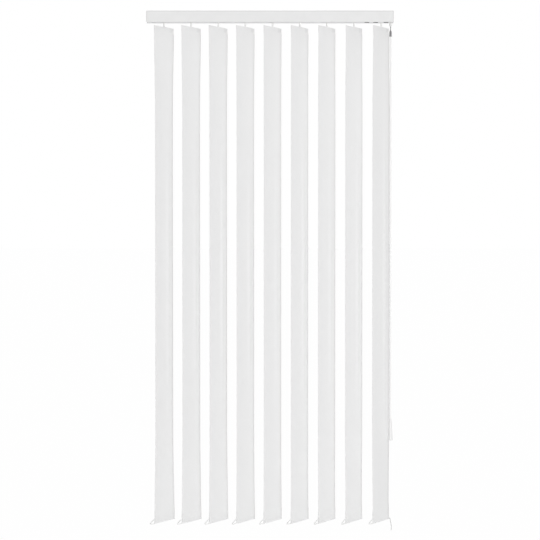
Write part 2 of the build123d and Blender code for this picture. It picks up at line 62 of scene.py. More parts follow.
class VaneSettings(bpy.types.PropertyGroup):
    """Sizes and colour of the cloth vanes."""

    angle: FloatProperty(
        name="Angle",
        description="Turn of a vane out of the rail's line at rest",
        default=radians(55),
        subtype="ANGLE",
    )
    width: FloatProperty(name="Width", description="Width of a vane", default=0.150, unit="LENGTH")
    cloth: FloatProperty(name="Cloth", description="Thickness of the cloth", default=0.0006, unit="LENGTH")
    top_hem: FloatProperty(
        name="Top hem", description="Depth of the top pocket", default=0.038, unit="LENGTH"
    )
    bottom_hem: FloatProperty(
        name="Bottom hem", description="Depth of the bottom pocket", default=0.068, unit="LENGTH"
    )
    top_pocket: FloatProperty(
        name="Top pocket", description="Room for the card in the top pocket", default=0.0012, unit="LENGTH"
    )
    bottom_pocket: FloatProperty(
        name="Bottom pocket",
        description="Room for the weight in the bottom pocket",
        default=0.0028,
        unit="LENGTH",
    )
    seam: FloatProperty(
        name="Seam", description="Width of the sewn strip of a hem", default=0.006, unit="LENGTH"
    )
    ridge: FloatProperty(
        name="Ridge",
        description="Height of the soft ridge down the cloth at mid height",
        default=0.0030,
        unit="LENGTH",
    )
    ridge_place: FloatProperty(
        name="Ridge place", description="From a vane's middle to its ridge", default=0.034, unit="LENGTH"
    )
    ridge_width: FloatProperty(
        name="Ridge width", description="Half width of the ridge", default=0.015, unit="LENGTH"
    )
    curl: FloatProperty(
        name="Curl",
        description="How far the rear edge of the cloth curls back",
        default=0.0012,
        unit="LENGTH",
    )
    curl_width: FloatProperty(
        name="Curl width", description="Width of the cloth that curls back", default=0.020, unit="LENGTH"
    )
    corner: FloatProperty(
        name="Corner",
        description="How far the rear corner of the top hem bends back",
        default=0.002,
        unit="LENGTH",
    )
    corner_width: FloatProperty(
        name="Corner width", description="Width of the corner that bends back", default=0.040, unit="LENGTH"
    )
    corner_height: FloatProperty(
        name="Corner height",
        description="Height of the corner that bends back",
        default=0.022,
        unit="LENGTH",
    )
    corner_blend: FloatProperty(
        name="Corner blend", description="Height over which the bend dies out", default=0.006, unit="LENGTH"
    )
    # Painted shade: the colour at the top hem's rear corner is darkened, standing in for the shade at the
    # pocket's end.
    corner_tone: FloatProperty(
        name="Corner tone",
        description="Share of the cloth's tone that the pressed corner keeps",
        default=0.925,
        min=0,
        max=1,
        subtype="FACTOR",
    )
    lean: FloatProperty(
        name="Lean",
        description="Share by which the ridge, the curl and the corner differ from vane to vane",
        default=0.25,
        min=0,
        max=1,
        subtype="FACTOR",
    )
    twist: FloatProperty(
        name="Twist",
        description="How far the cloth turns at mid height",
        default=radians(0.5),
        subtype="ANGLE",
    )
    twist_spread: FloatProperty(
        name="Twist spread",
        description="How much more the first vane's cloth turns than the middle one's, and the last's less",
        default=radians(3.4),
        subtype="ANGLE",
    )
    settle: FloatProperty(
        name="Settle",
        description="Share of the height over which the cloth turns next to a hem",
        default=0.16,
        min=0.01,
        max=1,
        subtype="FACTOR",
    )
    rows: IntProperty(name="Rows", description="Divisions down the cloth", default=72, min=8)
    columns: IntProperty(name="Columns", description="Divisions across the cloth", default=30, min=4)
    thread: FloatProperty(name="Thread", description="Spacing of the weave", default=0.0011, unit="LENGTH")
    # Painted shade: the cloth's colour is darkened in a strip of this width along the rear edge, standing in
    # for the shade of the curled edge.
    selvedge: FloatProperty(
        name="Painted_rear_shade",
        description="Width of the tighter weave along the rear edge",
        default=0.016,
        unit="LENGTH",
    )
    # Painted shade: share of the cloth's colour kept in the shaded strip along the rear edge.
    selvedge_tone: FloatProperty(
        name="Selvedge tone",
        description="Share of the cloth's tone that the tighter weave keeps",
        default=0.945,
        min=0,
        max=1,
        subtype="FACTOR",
    )
    colour: FloatVectorProperty(
        name="Colour", description="Colour of the cloth", default=(0.86, 0.86, 0.86), size=3, subtype="COLOR"
    )


class SeamSettings(bpy.types.PropertyGroup):
    """Sizes of the stitches and of the hanger cards."""

    pitch: FloatProperty(
        name="Pitch", description="From one stitch to the next", default=0.0032, unit="LENGTH"
    )
    length: FloatProperty(name="Length", description="Length of a stitch", default=0.0025, unit="LENGTH")
    thickness: FloatProperty(
        name="Thickness", description="Thickness of the thread", default=0.0004, unit="LENGTH"
    )
    card_width: FloatProperty(
        name="Card width", description="Width of a hanger card", default=0.146, unit="LENGTH"
    )
    card_height: FloatProperty(
        name="Card height", description="Height of a hanger card", default=0.030, unit="LENGTH"
    )
    card_thickness: FloatProperty(
        name="Card thickness", description="Thickness of a hanger card", default=0.001, unit="LENGTH"
    )
    card_corner: FloatProperty(
        name="Card corner", description="Radius of a hanger card's corners", default=0.00375, unit="LENGTH"
    )
    card_cuts: IntProperty(
        name="Card cuts", description="Cuts across the part of a card that bends", default=8, min=1
    )


class TailSettings(bpy.types.PropertyGroup):
    """Sizes of the chain tail on the last vane."""

    lug_reach: FloatProperty(
        name="Lug reach",
        description="From a vane's middle to the end of its lug",
        default=0.078,
        unit="LENGTH",
    )
    lug_rise: FloatProperty(
        name="Lug rise",
        description="Height of the lug over the vane's lower edge",
        default=0.0037,
        unit="LENGTH",
    )
    bead: FloatProperty(name="Bead", description="Diameter of a bead", default=0.0045, unit="LENGTH")
    pitch: FloatProperty(name="Pitch", description="From one bead to the next", default=0.0054, unit="LENGTH")
    cord: FloatProperty(
        name="Cord", description="Diameter of the cord between the beads", default=0.0018, unit="LENGTH"
    )


class FinishSettings(bpy.types.PropertyGroup):
    """Colours of the rail and of the moulded and metal pieces."""

    rail: FloatVectorProperty(
        name="Rail", description="Paint of the head rail", default=(0.84, 0.84, 0.84), size=3, subtype="COLOR"
    )
    # Painted shade: the rail's colour is darkened in a band of this height along its upper edge.
    rim: FloatProperty(
        name="Rim",
        description="Height of the shade_painted rim along the rail's upper edge",
        default=0.006,
        unit="LENGTH",
    )
    # Painted shade: share of the rail's colour kept in the shaded band.
    rim_tone: FloatProperty(
        name="Rim tone",
        description="Share of the rail's tone that the rim keeps",
        default=0.93,
        min=0,
        max=1,
        subtype="FACTOR",
    )
    white: FloatVectorProperty(
        name="White", description="White moulded pieces", default=(0.87, 0.87, 0.865), size=3, subtype="COLOR"
    )
    milky: FloatVectorProperty(
        name="Milky",
        description="Stems and hanger cards",
        default=(0.86, 0.86, 0.85),
        size=3,
        subtype="COLOR",
    )
    carrier: FloatVectorProperty(
        name="Carrier", description="Carriers and gears", default=(0.70, 0.70, 0.68), size=3, subtype="COLOR"
    )
    metal: FloatVectorProperty(
        name="Metal", description="Clips and tilt rod", default=(0.62, 0.62, 0.63), size=3, subtype="COLOR"
    )
    chain: FloatVectorProperty(
        name="Chain", description="Chain tail", default=(0.66, 0.66, 0.65), size=3, subtype="COLOR"
    )
    cap: FloatVectorProperty(
        name="Cap", description="End caps of the rail", default=(0.79, 0.79, 0.785), size=3, subtype="COLOR"
    )
    wand: FloatVectorProperty(
        name="Wand", description="Rod of the wand", default=(0.91, 0.91, 0.905), size=3, subtype="COLOR"
    )
    ferrule: FloatVectorProperty(
        name="Ferrule",
        description="Ferrule of the wand",
        default=(0.27, 0.27, 0.275),
        size=3,
        subtype="COLOR",
    )
    # The pads' dark colour is painted shade, standing in for the shade inside the rail's slot; the hook's
    # dark colour is its own.
    dark: FloatVectorProperty(
        name="Dark",
        description="Hook of the wand and pads",
        default=(0.16, 0.16, 0.165),
        size=3,
        subtype="COLOR",
    )


class StageSettings(bpy.types.PropertyGroup):
    """Camera, floor and light."""

    distance: FloatProperty(
        name="Distance", description="From the camera to the blind", default=7.0, unit="LENGTH"
    )
    field: FloatProperty(
        name="Field", description="Width of the view at the blind", default=2.631, unit="LENGTH"
    )
    eye: FloatProperty(
        name="Eye level", description="Height of the camera from the ceiling", default=-1.10, unit="LENGTH"
    )
    pitch: FloatProperty(
        name="Pitch", description="How far the camera looks down", default=radians(0.859), subtype="ANGLE"
    )
    shift: FloatProperty(name="Shift", description="Upright shift of the lens", default=-0.02)
    floor: FloatProperty(
        name="Floor", description="Height of the floor from the ceiling", default=-2.62, unit="LENGTH"
    )
    floor_size: FloatProperty(
        name="Floor size", description="Width of the floor", default=400.0, unit="LENGTH"
    )
    floor_colour: FloatVectorProperty(
        name="Floor colour",
        description="Colour of the floor",
        default=(0.9, 0.9, 0.9),
        size=3,
        subtype="COLOR",
    )
    floor_glow: FloatProperty(
        name="Floor glow",
        description="Share of the floor that is plain white to the camera",
        default=0.985,
        min=0,
        max=1,
        subtype="FACTOR",
    )
    world: FloatProperty(name="World", description="Strength of the light from all round", default=0.61)
    lamp_side: FloatProperty(
        name="Lamp side",
        description="Turn of the lamps from the view's line",
        default=radians(27),
        subtype="ANGLE",
    )
    lamp_width: FloatProperty(
        name="Lamp width", description="Angle that a lamp fills", default=radians(20), subtype="ANGLE"
    )
    key: FloatProperty(name="Key", description="Strength of the lamp in front", default=1.20)
    back: FloatProperty(name="Back", description="Strength of the lamp behind", default=0.59)


class BlindSettings(bpy.types.PropertyGroup):
    """All settings of the blind."""

    vane: PointerProperty(type=VaneSettings, name="Vanes", description="Cloth vanes")
    seam: PointerProperty(type=SeamSettings, name="Seams", description="Stitches and cards")
    tail: PointerProperty(type=TailSettings, name="Tail", description="Chain tail")
    finish: PointerProperty(type=FinishSettings, name="Finishes", description="Colours")
    stage: PointerProperty(type=StageSettings, name="Stage", description="Camera, floor and light")


def add_node(tree, kind, place=(0, 0), options=None, **inputs):
    """A shader node with its options and unlinked inputs set."""
    node = tree.nodes.new(kind)
    node.location = place
    for name, value in (options or {}).items():
        setattr(node, name, value)
    for name, value in inputs.items():
        node.inputs[name.replace("_", " ")].default_value = value
    return node


def add_math(tree, operation, first, second=0):
    """A Math node on two sockets or numbers."""
    node = add_node(tree, "ShaderNodeMath", options={"operation": operation})
    for index, value in enumerate((first, second)):
        if isinstance(value, (int, float)):
            node.inputs[index].default_value = value
        else:
            tree.links.new(value, node.inputs[index])
    return node.outputs["Value"]


def new_group(name, inputs, outputs):
    """An empty shader node group with its sockets."""
    tree = bpy.data.node_groups.new(name, "ShaderNodeTree")
    for label, kind, value in inputs:
        socket = tree.interface.new_socket(name=label, in_out="INPUT", socket_type=kind)
        if value is not None:
            socket.default_value = value
    for label in outputs:
        tree.interface.new_socket(name=label, in_out="OUTPUT", socket_type="NodeSocketFloat")
    return tree, tree.nodes.new("NodeGroupInput"), tree.nodes.new("NodeGroupOutput")


def stretched(tree, vector, stretch):
    """A vector with each of its parts multiplied, by a socket's parts or by three numbers."""
    pull = add_node(tree, "ShaderNodeVectorMath", options={"operation": "MULTIPLY"})
    tree.links.new(vector, pull.inputs[0])
    if isinstance(stretch, tuple):
        pull.inputs[1].default_value = stretch
    else:
        tree.links.new(stretch, pull.inputs[1])
    return pull.outputs["Vector"]


def moulded_grain():
    """Fine pitted skin of moulded plastic and sprayed paint, with slow changes of tone."""
    fine_share, pit_share = 0.6, 0.4
    tree, given, put = new_group(
        "moulded grain",
        [
            ("Vector", "NodeSocketVector", None),
            ("Grain Scale", "NodeSocketFloat", 1500.0),
            ("Tone Scale", "NodeSocketFloat", 22.0),
        ],
        ["Height", "Tone"],
    )
    fine = add_node(tree, "ShaderNodeTexNoise", Detail=3.0, Roughness=0.6)
    pits = add_node(tree, "ShaderNodeTexVoronoi", options={"feature": "SMOOTH_F1"}, Smoothness=0.6)
    slow = add_node(tree, "ShaderNodeTexNoise", Detail=4.0, Roughness=0.55)
    for node, scale in ((fine, "Grain Scale"), (pits, "Grain Scale"), (slow, "Tone Scale")):
        tree.links.new(given.outputs["Vector"], node.inputs["Vector"])
        tree.links.new(given.outputs[scale], node.inputs["Scale"])
    skin = add_math(tree, "MULTIPLY", fine.outputs["Fac"], fine_share)
    pitting = add_math(tree, "MULTIPLY", pits.outputs["Distance"], pit_share)
    tree.links.new(add_math(tree, "ADD", skin, pitting), put.inputs["Height"])
    tree.links.new(slow.outputs["Fac"], put.inputs["Tone"])
    return tree


def draw_lines():
    """Faint lines that run along a drawn or extruded piece."""
    broad_share = 0.08
    tree, given, put = new_group(
        "draw lines",
        [
            ("Vector", "NodeSocketVector", None),
            ("Stretch", "NodeSocketVector", (1.0, 1.0, 1.0)),
            ("Line Scale", "NodeSocketFloat", 900.0),
        ],
        ["Height", "Tone"],
    )
    pulled = stretched(tree, given.outputs["Vector"], given.outputs["Stretch"])
    lines = add_node(tree, "ShaderNodeTexNoise", Detail=5.0, Roughness=0.65)
    broad = add_node(tree, "ShaderNodeTexNoise", Detail=2.0, Roughness=0.5)
    for node in (lines, broad):
        tree.links.new(pulled, node.inputs["Vector"])
    tree.links.new(given.outputs["Line Scale"], lines.inputs["Scale"])
    broad_scale = add_math(tree, "MULTIPLY", given.outputs["Line Scale"], broad_share)
    tree.links.new(broad_scale, broad.inputs["Scale"])
    tree.links.new(lines.outputs["Fac"], put.inputs["Height"])
    tree.links.new(broad.outputs["Fac"], put.inputs["Tone"])
    return tree


def plain_weave():
    """Crossed threads with slubs: a height, a tone for each thread and the gaps between threads."""
    crossing_share = 0.35
    slub_along, slub_across = 9.0, 160.0
    tree, given, put = new_group(
        "plain weave",
        [("Vector", "NodeSocketVector", None), ("Spacing", "NodeSocketFloat", 0.001)],
        ["Height", "Tone", "Gaps"],
    )
    split = add_node(tree, "ShaderNodeSeparateXYZ")
    tree.links.new(given.outputs["Vector"], split.inputs["Vector"])
    runs = [add_math(tree, "DIVIDE", split.outputs[axis], given.outputs["Spacing"]) for axis in "XY"]
    waves = [add_math(tree, "SINE", add_math(tree, "MULTIPLY", run, pi)) for run in runs]
    crossing = add_math(tree, "MULTIPLY", waves[0], waves[1])
    ridges = [add_math(tree, "ABSOLUTE", wave) for wave in waves]
    body = add_math(tree, "MULTIPLY", ridges[0], ridges[1])
    height = add_math(tree, "ADD", body, add_math(tree, "MULTIPLY", crossing, crossing_share))
    slubs = []
    for stretch in ((slub_along, slub_across, 1.0), (slub_across, slub_along, 1.0)):
        slub = add_node(tree, "ShaderNodeTexNoise", Scale=5.0, Detail=3.0, Roughness=0.6)
        tree.links.new(stretched(tree, given.outputs["Vector"], stretch), slub.inputs["Vector"])
        slubs.append(slub.outputs["Fac"])
    tone = add_math(tree, "DIVIDE", add_math(tree, "ADD", slubs[0], slubs[1]), 2)
    tree.links.new(add_math(tree, "ADD", height, tone), put.inputs["Height"])
    tree.links.new(tone, put.inputs["Tone"])
    tree.links.new(add_math(tree, "SUBTRACT", 1.0, body), put.inputs["Gaps"])
    return tree


def shared(build):
    """A node group, built the first time that it is asked for."""
    name = build.__name__.replace("_", " ")
    return bpy.data.node_groups.get(name) or build()


def new_finish(name, roughness, metallic=0.0, **sockets):
    """A material with its shader's constant sockets set."""
    material = bpy.data.materials.new(name)
    material.use_nodes = True
    shader = material.node_tree.nodes["Principled BSDF"]
    shader.inputs["Roughness"].default_value = roughness
    shader.inputs["Metallic"].default_value = metallic
    for label, value in sockets.items():
        shader.inputs[label.replace("_", " ")].default_value = value
    return material, material.node_tree, shader


def place_group(tree, build, coordinate):
    """A shared group in a material, fed with one of its coordinates."""
    source = add_node(tree, "ShaderNodeTexCoord", (-900, 0))
    group = add_node(tree, "ShaderNodeGroup", (-650, 0), {"node_tree": shared(build)})
    tree.links.new(source.outputs[coordinate], group.inputs["Vector"])
    return group


def tint(tree, shader, mask, colour, darkest, low=noise_low, high=noise_high):
    """Colour that varies between a darker share of itself and itself."""
    spread = add_node(tree, "ShaderNodeMapRange", (-400, 200), From_Min=low, From_Max=high)
    tree.links.new(mask, spread.inputs["Value"])
    mix = add_node(tree, "ShaderNodeMix", (-200, 200), {"data_type": "RGBA"})
    mix.inputs["A"].default_value = (*(channel * darkest for channel in colour), 1)
    mix.inputs["B"].default_value = (*colour, 1)
    tree.links.new(spread.outputs["Result"], mix.inputs["Factor"])
    tree.links.new(mix.outputs["Result"], shader.inputs["Base Color"])


def smooth_step(tree, value, middle, reach, before, after):
    """A value that goes smoothly from one number to another around a place."""
    step = add_node(
        tree,
        "ShaderNodeMapRange",
        (-500, 500),
        {"interpolation_type": "SMOOTHSTEP"},
        From_Min=middle - reach,
        From_Max=middle + reach,
        To_Min=before,
        To_Max=after,
    )
    tree.links.new(value, step.inputs["Value"])
    return step.outputs["Result"]


def split_coordinate(tree, coordinate):
    """The X, Y and Z of one of a material's coordinates."""
    source = add_node(tree, "ShaderNodeTexCoord", (-900, 500))
    split = add_node(tree, "ShaderNodeSeparateXYZ", (-700, 500))
    tree.links.new(source.outputs[coordinate], split.inputs["Vector"])
    return split.outputs


def dim_colour(tree, shader, share):
    """Scale a shader's colour by a share that varies over the surface."""
    colour = shader.inputs["Base Color"]
    dim = add_node(tree, "ShaderNodeVectorMath", (0, 300), {"operation": "SCALE"})
    tree.links.new(colour.links[0].from_socket, dim.inputs["Vector"])
    tree.links.new(share, dim.inputs["Scale"])
    tree.links.new(dim.outputs["Vector"], colour)


def rough_spread(tree, shader, mask, least, most):
    """Roughness that follows a mask."""
    spread = add_node(
        tree,
        "ShaderNodeMapRange",
        (-400, -100),
        From_Min=noise_low,
        From_Max=noise_high,
        To_Min=least,
        To_Max=most,
    )
    tree.links.new(mask, spread.inputs["Value"])
    tree.links.new(spread.outputs["Result"], shader.inputs["Roughness"])


def bump(tree, shader, height, strength, distance):
    """Bump from a height."""
    node = add_node(tree, "ShaderNodeBump", (-200, -300), Strength=strength, Distance=distance)
    tree.links.new(height, node.inputs["Height"])
    tree.links.new(node.outputs["Normal"], shader.inputs["Normal"])


def moulded_finish(name, colour, roughness, grain=1500.0, depth=0.00002, darkest=0.94, **sockets):
    """Moulded plastic or sprayed paint."""
    material, tree, shader = new_finish(name, roughness, **sockets)
    group = place_group(tree, moulded_grain, "Object")
    group.inputs["Grain Scale"].default_value = grain
    tint(tree, shader, group.outputs["Tone"], colour, darkest)
    rough_spread(tree, shader, group.outputs["Tone"], least=roughness * 0.85, most=roughness * 1.2)
    bump(tree, shader, group.outputs["Height"], strength=0.5, distance=depth)
    return material


def drawn_finish(name, colour, roughness, stretch, metallic=0.0, lines=900.0, darkest=0.9):
    """Metal or plastic with lines along it."""
    material, tree, shader = new_finish(name, roughness, metallic)
    group = place_group(tree, draw_lines, "Object")
    group.inputs["Stretch"].default_value = stretch
    group.inputs["Line Scale"].default_value = lines
    tint(tree, shader, group.outputs["Tone"], colour, darkest)
    rough_spread(tree, shader, group.outputs["Height"], least=roughness * 0.8, most=roughness * 1.25)
    bump(tree, shader, group.outputs["Height"], strength=0.4, distance=0.00002)
    return material


def selvedge_share(tree, across, vane):
    """The share of its colour that the cloth keeps along its rear edge, where shade is painted in."""
    start = vane.width - vane.selvedge
    blend = vane.selvedge / 4
    return smooth_step(tree, across, start, blend, 1.0, vane.selvedge_tone)


def corner_share(tree, across, along, vane):
    """The share of its colour that the cloth keeps at the top hem's rear corner, on both sides of the fold,
    where shade is painted in.
    """
    blend = vane.corner_width / 5
    start = vane.width - vane.corner_width + blend
    beside = smooth_step(tree, across, start, blend, 0.0, 1 - vane.corner_tone)
    from_fold = add_math(tree, "ABSOLUTE", add_math(tree, "SUBTRACT", along, vane.top_hem))
    below = smooth_step(tree, from_fold, vane.corner_height, vane.corner_blend / 2, 1.0, 0.0)
    return add_math(tree, "SUBTRACT", 1.0, add_math(tree, "MULTIPLY", beside, below))


def cloth_finish(vane):
    """White stiffened cloth in a plain weave."""
    material, tree, shader = new_finish(
        "white woven cloth", 0.82, Sheen_Weight=0.15, Sheen_Roughness=0.5, Specular_IOR_Level=0.25
    )
    group = place_group(tree, plain_weave, "UV")
    group.inputs["Spacing"].default_value = vane.thread
    tint(tree, shader, group.outputs["Tone"], vane.colour, darkest=0.965, low=0.35, high=0.65)
    place = split_coordinate(tree, "UV")
    # Painted shade along the rear edge.
    edge = selvedge_share(tree, place["X"], vane)
    # Painted shade at the top hem's rear corner.
    painted_shade = corner_share(tree, place["X"], place["Y"], vane)
    dim_colour(tree, shader, add_math(tree, "MINIMUM", edge, painted_shade))
    rough_spread(tree, shader, group.outputs["Gaps"], least=0.76, most=0.9)
    bump(tree, shader, group.outputs["Height"], strength=0.35, distance=0.00015)
    return material


def rail_finish(finish):
    """White paint with painted shade in a band along the rail's upper edge."""
    material = moulded_finish(
        "white rail paint", finish.rail, roughness=0.38, grain=700.0, depth=0.00003, darkest=0.975
    )
    tree = material.node_tree
    # Painted shade: darker towards the top of the rail.
    height = split_coordinate(tree, "Object")["Z"]
    blend = finish.rim / 6
    share = smooth_step(tree, height, -finish.rim, blend, 1.0, finish.rim_tone)
    dim_colour(tree, tree.nodes["Principled BSDF"], share)
    return material


def thread_finish(vane):
    """Sewing thread."""
    material, tree, shader = new_finish("white sewing thread", 0.6, Sheen_Weight=0.2)
    group = place_group(tree, draw_lines, "Object")
    group.inputs["Line Scale"].default_value = 4000.0
    tint(tree, shader, group.outputs["Height"], vane.colour, darkest=0.9)
    rough_spread(tree, shader, group.outputs["Height"], least=0.5, most=0.75)
    bump(tree, shader, group.outputs["Height"], strength=0.5, distance=0.0001)
    return material


def new_piece(name, mesh, material, body):
    """A mesh piece in the scene, riding on its body."""
    piece = bpy.data.objects.new(name, mesh)
    bpy.context.scene.collection.objects.link(piece)
    mesh.materials.append(material)
    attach(piece, body)
    return piece


def to_mesh(bm, name, smooth):
    """A mesh from a bmesh, which is freed."""
    mesh = bpy.data.meshes.new(name)
    bm.to_mesh(mesh)
    bm.free()
    mesh.polygons.foreach_set("use_smooth", [smooth] * len(mesh.polygons))
    return mesh


def ease(share):
    """A smooth step from 0 to 1."""
    share = min(max(share, 0), 1)
    return share * share * (3 - 2 * share)


def vane_place(vane, number):
    """The middle of a vane's axis with its turn, its upper edge and its lower edge."""
    low, high = (Vector(corner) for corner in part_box(f"vane_{number}"))
    middle = (low + high) / 2
    turn = Matrix.Translation((middle.x, middle.y, 0)) @ Matrix.Rotation(vane.angle, 4, "Z")
    return turn, high.z, low.z


def drape(bm, vane, number):
    """Turn, swell and curl a flat vane's cloth, or what is sewn into it, and put it in its place."""
    place, top, bottom = vane_place(vane, number)
    half = vane.width / 2
    upper_seam, lower_seam = top - vane.top_hem, bottom + vane.bottom_hem
    lean_step = 2.3
    lean = 1 + vane.lean * sin(number * lean_step)
    twist = vane.twist + vane.twist_spread * (vane_total + 1 - 2 * number) / (vane_total - 1)
    curl_settle = vane.settle / 2
    for vert in bm.verts:
        drop = (upper_seam - vert.co.z) / (upper_seam - lower_seam)
        turn = twist * ease(drop / vane.settle) * ease((1 - drop) / vane.settle)
        swell = sin(pi * min(max(drop, 0), 1)) ** 4
        ridge = (vert.co.x - vane.ridge_place) / vane.ridge_width
        loose = ease(drop / curl_settle) * ease((1 - drop) / curl_settle)
        curl = max(0, 1 - (half - vert.co.x) / vane.curl_width)
        bent = ease((vert.co.z - top + vane.corner_height) / vane.corner_blend + 1)
        corner = max(0, 1 - (half - vert.co.x) / vane.corner_width)
        out = vert.co.y - vane.ridge * lean * swell * exp(-ridge * ridge)
        out += (vane.curl * loose * curl * curl + vane.corner * bent * corner * corner) * lean
        vert.co.x, vert.co.y = (
            vert.co.x * cos(turn) - out * sin(turn),
            vert.co.x * sin(turn) + out * cos(turn),
        )
    bmesh.ops.transform(bm, matrix=place, verts=bm.verts)


def finish_node(material, *names):
    """Give CAD nodes a finish."""
    for name in names:
        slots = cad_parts[name].data.materials
        slots.clear()
        slots.append(material)


def each(kind):
    """The names of the nodes of a kind that every vane has."""
    return [f"{kind}_{number}" for number in vane_numbers]


class BLIND_OT_vanes(bpy.types.Operator):
    """Make the cloth vanes, each one sheet folded into a pocket at both ends"""

    bl_idname = "blind.vanes"
    bl_label = "Vanes"

    # Share of the cloth's thickness from a sewn strip's middle to the middle of one of its layers
    layer_share = 0.55
    # Share of the sewn strip's width over which a pocket opens beyond it
    spread_share = 1.6
    # The point half way round a fold, as shares of the fold's reach outwards and inwards
    round_out, round_in = 0.7, 0.3

    def execute(self, context):
        vane = context.scene.blind.vane
        material = cloth_finish(vane)
        for number in vane_numbers:
            sheet = self.cloth(vane, number)
            piece = new_piece(f"cloth_vane_{number}", sheet, material, f"vane_{number}")
            wall = piece.modifiers.new("cloth", "SOLIDIFY")
            wall.thickness = vane.cloth
            wall.offset = 0
            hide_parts(f"vane_{number}")
            _place, top, bottom = vane_place(vane, number)
        return {"FINISHED"}

    def hem(self, vane, room, seam, end, side):
        """One folded end of the sheet, from its sewn strip on one side over the fold to the other side."""
        way = 1 if end > seam else -1
        layer = vane.cloth * self.layer_share
        reach = (room + vane.cloth) / 2
        edge = end - way * vane.cloth / 2
        strip = seam + way * vane.seam
        half = [
            (layer, seam),
            (layer, strip),
            (reach, strip + way * vane.seam * self.spread_share),
            (reach, edge - way * reach),
            (reach * self.round_out, edge - way * reach * self.round_in),
        ]
        there = [(side * out, up) for out, up in half]
        back = [(-side * out, up) for out, up in reversed(half)]
        return [*there, (0, edge), *back]

    def cloth(self, vane, number):
        """The sheet's middle surface, drawn as its folded side and then pulled across the vane's width."""
        _place, top, bottom = vane_place(vane, number)
        half = vane.width / 2
        spread = vane.seam * self.spread_share
        upper_seam, lower_seam = top - vane.top_hem, bottom + vane.bottom_hem
        side = [
            *self.hem(vane, vane.top_pocket, upper_seam, top, 1),
            (0, upper_seam - spread),
            (0, lower_seam + spread),
            *self.hem(vane, vane.bottom_pocket, lower_seam, bottom, -1),
        ]
        bm = bmesh.new()
        run = bm.verts.layers.float.new("run")
        corners = [bm.verts.new((-half, out, up)) for out, up in side]
        edges = [bm.edges.new(pair) for pair in zip(corners, corners[1:])]
        for before, after in zip(corners, corners[1:]):
            after[run] = before[run] + (after.co - before.co).length
        longest = max(edges, key=lambda edge: edge.calc_length())
        bmesh.ops.subdivide_edges(bm, edges=[longest], cuts=vane.rows)
        bmesh.ops.spin(
            bm,
            geom=[*bm.verts, *bm.edges],
            cent=(0, 0, 0),
            axis=(0, 0, 1),
            dvec=(vane.width / vane.columns, 0, 0),
            angle=0,
            steps=vane.columns,
            use_merge=False,
        )
        cloth_map = bm.loops.layers.uv.new("cloth")
        for face in bm.faces:
            for loop in face.loops:
                loop[cloth_map].uv = (loop.vert.co.x + half, loop.vert[run])
        drape(bm, vane, number)
        bmesh.ops.recalc_face_normals(bm, faces=bm.faces)
        return to_mesh(bm, f"cloth_vane_{number}", True)


class BLIND_OT_seams(bpy.types.Operator):
    """Make the stitches along the hems and the cards in the top pockets"""

    bl_idname = "blind.seams"
    bl_label = "Seams and cards"

    # Shares of the cloth's thickness: from a hem's middle to a stitch, and from the vane's top to its card
    stitch_share = 1.05
    card_share = 1.2

    def execute(self, context):
        settings = context.scene.blind
        thread = thread_finish(settings.vane)
        card = moulded_finish("hanger card", settings.finish.milky, roughness=0.45, grain=2200.0)
        for number in vane_numbers:
            body = f"vane_{number}"
            stitches = self.stitches(settings.vane, settings.seam, number)
            new_piece(f"hem_stitches_{number}", stitches, thread, body)
            stiffener = self.card(settings.vane, settings.seam, number)
            new_piece(f"hanger_card_{number}", stiffener, card, body)
        return {"FINISHED"}

    def stitches(self, vane, seam, number):
        """Two rows of stitches on each side of a vane."""
        _place, top, bottom = vane_place(vane, number)
        count = int((vane.width - seam.pitch) / seam.pitch)
        start = -(count - 1) * seam.pitch / 2
        rows = (top - vane.top_hem + vane.seam / 2, bottom + vane.bottom_hem - vane.seam / 2)
        face = vane.cloth * self.stitch_share
        bm = bmesh.new()
        for height in rows:
            for side in (-1, 1):
                for step in range(count):
                    made = bmesh.ops.create_icosphere(bm, subdivisions=1, radius=0.5)["verts"]
                    bmesh.ops.scale(bm, vec=(seam.length, seam.thickness, seam.thickness), verts=made)
                    spot = (start + step * seam.pitch, side * face, height)
                    bmesh.ops.translate(bm, vec=spot, verts=made)
        drape(bm, vane, number)
        return to_mesh(bm, f"hem_stitches_{number}", True)

    def card(self, vane, seam, number):
        """A stiff card with rounded corners, cut across where it bends with the hem's corner."""
        _place, top, _bottom = vane_place(vane, number)
        bm = bmesh.new()
        bmesh.ops.create_cube(bm, size=1)
        bmesh.ops.scale(bm, vec=(seam.card_width, seam.card_thickness, seam.card_height), verts=bm.verts)
        rise = seam.card_thickness / 2
        corners = [edge for edge in bm.edges if abs(edge.verts[0].co.y - edge.verts[1].co.y) > rise]
        bmesh.ops.bevel(
            bm,
            geom=corners,
            offset=seam.card_corner,
            offset_type="OFFSET",
            affect="EDGES",
            segments=5,
            profile=0.5,
            material=-1,
        )
        bend = vane.width / 2 - vane.corner_width
        for step in range(seam.card_cuts):
            spot = bend + (seam.card_width / 2 - bend) * step / seam.card_cuts
            bmesh.ops.bisect_plane(
                bm, geom=[*bm.verts, *bm.edges, *bm.faces], plane_co=(spot, 0, 0), plane_no=(1, 0, 0)
            )
        height = top - vane.cloth * self.card_share - seam.card_height / 2
        bmesh.ops.translate(bm, vec=(0, 0, height), verts=bm.verts)
        drape(bm, vane, number)
        return to_mesh(bm, f"hanger_card_{number}", False)


